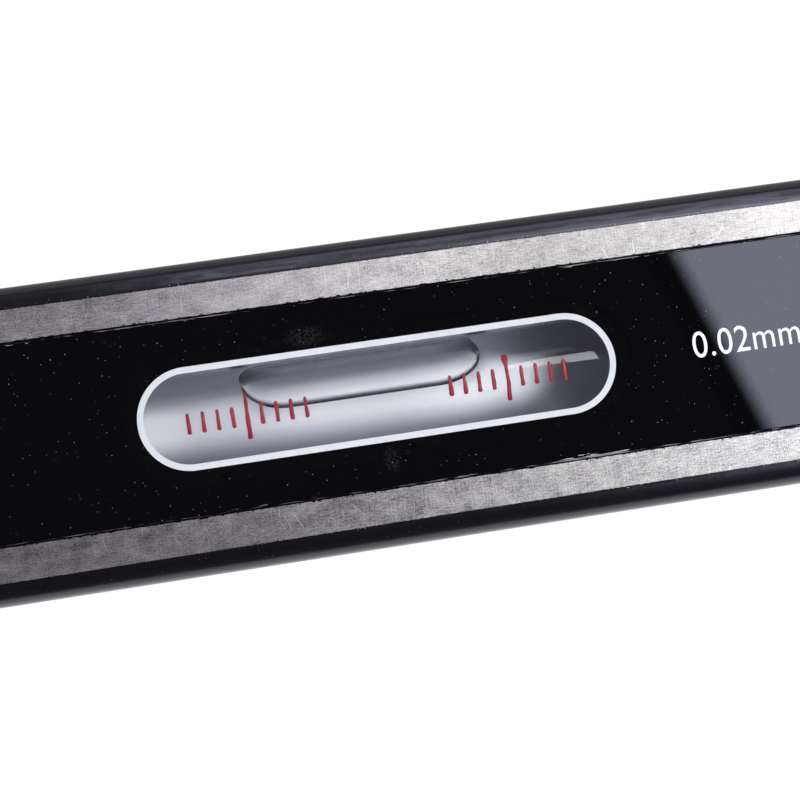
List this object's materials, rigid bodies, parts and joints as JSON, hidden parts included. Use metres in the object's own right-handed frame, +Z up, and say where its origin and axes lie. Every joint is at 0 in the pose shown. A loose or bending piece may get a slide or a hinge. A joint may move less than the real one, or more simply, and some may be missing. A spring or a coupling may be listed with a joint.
{
  "type": "machinist level",
  "caption": "Bar machinist's level with a vee base, a long graduated vial under a clear cover, a cross vial, a screw zero adjuster and finger grips on both sides.",
  "frame": {"origin": "middle of the ground base, on its plane", "axes": "+X along the bar toward the zero adjuster, +Y across the bar to the back, +Z up"},
  "size_m": [0.2, 0.042, 0.044],
  "materials": {
    "painted_iron": "black gloss paint with ground bare rails and base",
    "clear_acrylic": "clear polished",
    "black_print": "black printed film",
    "gasket_foam": "soft black",
    "screw_steel": "bright zinc",
    "nickel": "nickel plated",
    "nickel_tube": "nickel plated brass",
    "brass": "turned",
    "tool_steel": "ground",
    "spring_steel": "oiled wire",
    "white_card": "matt white",
    "pad_rubber": "soft black",
    "vial_glass": "ground and polished",
    "spirit": "clear liquid",
    "bubble": "vapour",
    "red_paint": "brushed in by hand",
    "aluminium": "milled",
    "grip_plastic": "black moulded"
  },
  "bodies": {
    "bar": {"body": "painted_iron", "cover_gasket": "gasket_foam", "printed_mask": "black_print", "cover_plate": "clear_acrylic", "cover_screws": "screw_steel", "cap_ring": "nickel", "pivot_block": "tool_steel", "pivot_screws": "screw_steel", "pivot_pin": "tool_steel", "adjuster_bush": "brass", "adjuster_keeper": "tool_steel", "keeper_screws": "screw_steel", "lift_spring": "spring_steel", "cross_block": "aluminium", "cross_block_screws": "screw_steel", "cross_graduations": "red_paint", "cross_vial": "vial_glass", "cross_vial_seals": "vial_glass", "cross_spirit": "spirit", "front_grip": "grip_plastic", "rear_grip": "grip_plastic", "grip_screws": "screw_steel"},
    "vial_carriage": {"vial_tube": "nickel_tube", "vial_liner": "white_card", "vial_pads": "pad_rubber", "left_end_plug": "brass", "right_end_plug": "brass", "lift_nut": "brass", "main_graduations": "red_paint", "main_vial": "vial_glass", "main_vial_seals": "vial_glass", "main_spirit": "spirit"},
    "main_bubble": {"main_bubble": "bubble"},
    "cross_bubble": {"cross_bubble": "bubble"},
    "adjusting_screw": {"adjusting_screw": "tool_steel", "adjuster_wheel": "brass"},
    "adjuster_cap": {"adjuster_cap": "nickel"}
  },
  "joints": [
    {"name": "screw_turn", "type": "hinge", "parent": "bar", "child": "adjusting_screw", "pos_m": [0.072, 0, 0.03], "axis": [0, 0, 1], "range_deg": [-360, 360]},
    {"name": "vial_tilt", "type": "hinge", "parent": "bar", "child": "vial_carriage", "pos_m": [-0.049, 0, 0.032], "axis": [0, -1, 0], "range_deg": [-0.25, 0.25], "deforming": ["lift_spring"]},
    {"name": "bubble_slide", "type": "slide", "parent": "vial_carriage", "child": "main_bubble", "axis": [1, 0, 0], "range_m": [-0.017, 0.021]},
    {"name": "cross_bubble_slide", "type": "slide", "parent": "bar", "child": "cross_bubble", "axis": [0, 1, 0], "range_m": [-0.004, 0.004]},
    {"name": "cap_lift", "type": "slide", "parent": "bar", "child": "adjuster_cap", "axis": [0, 0, 1], "range_m": [0, 0.012]}
  ],
  "couplings": [
    {"joint": "vial_tilt", "follows": "screw_turn", "ratio": -0.00065767}
  ]
}
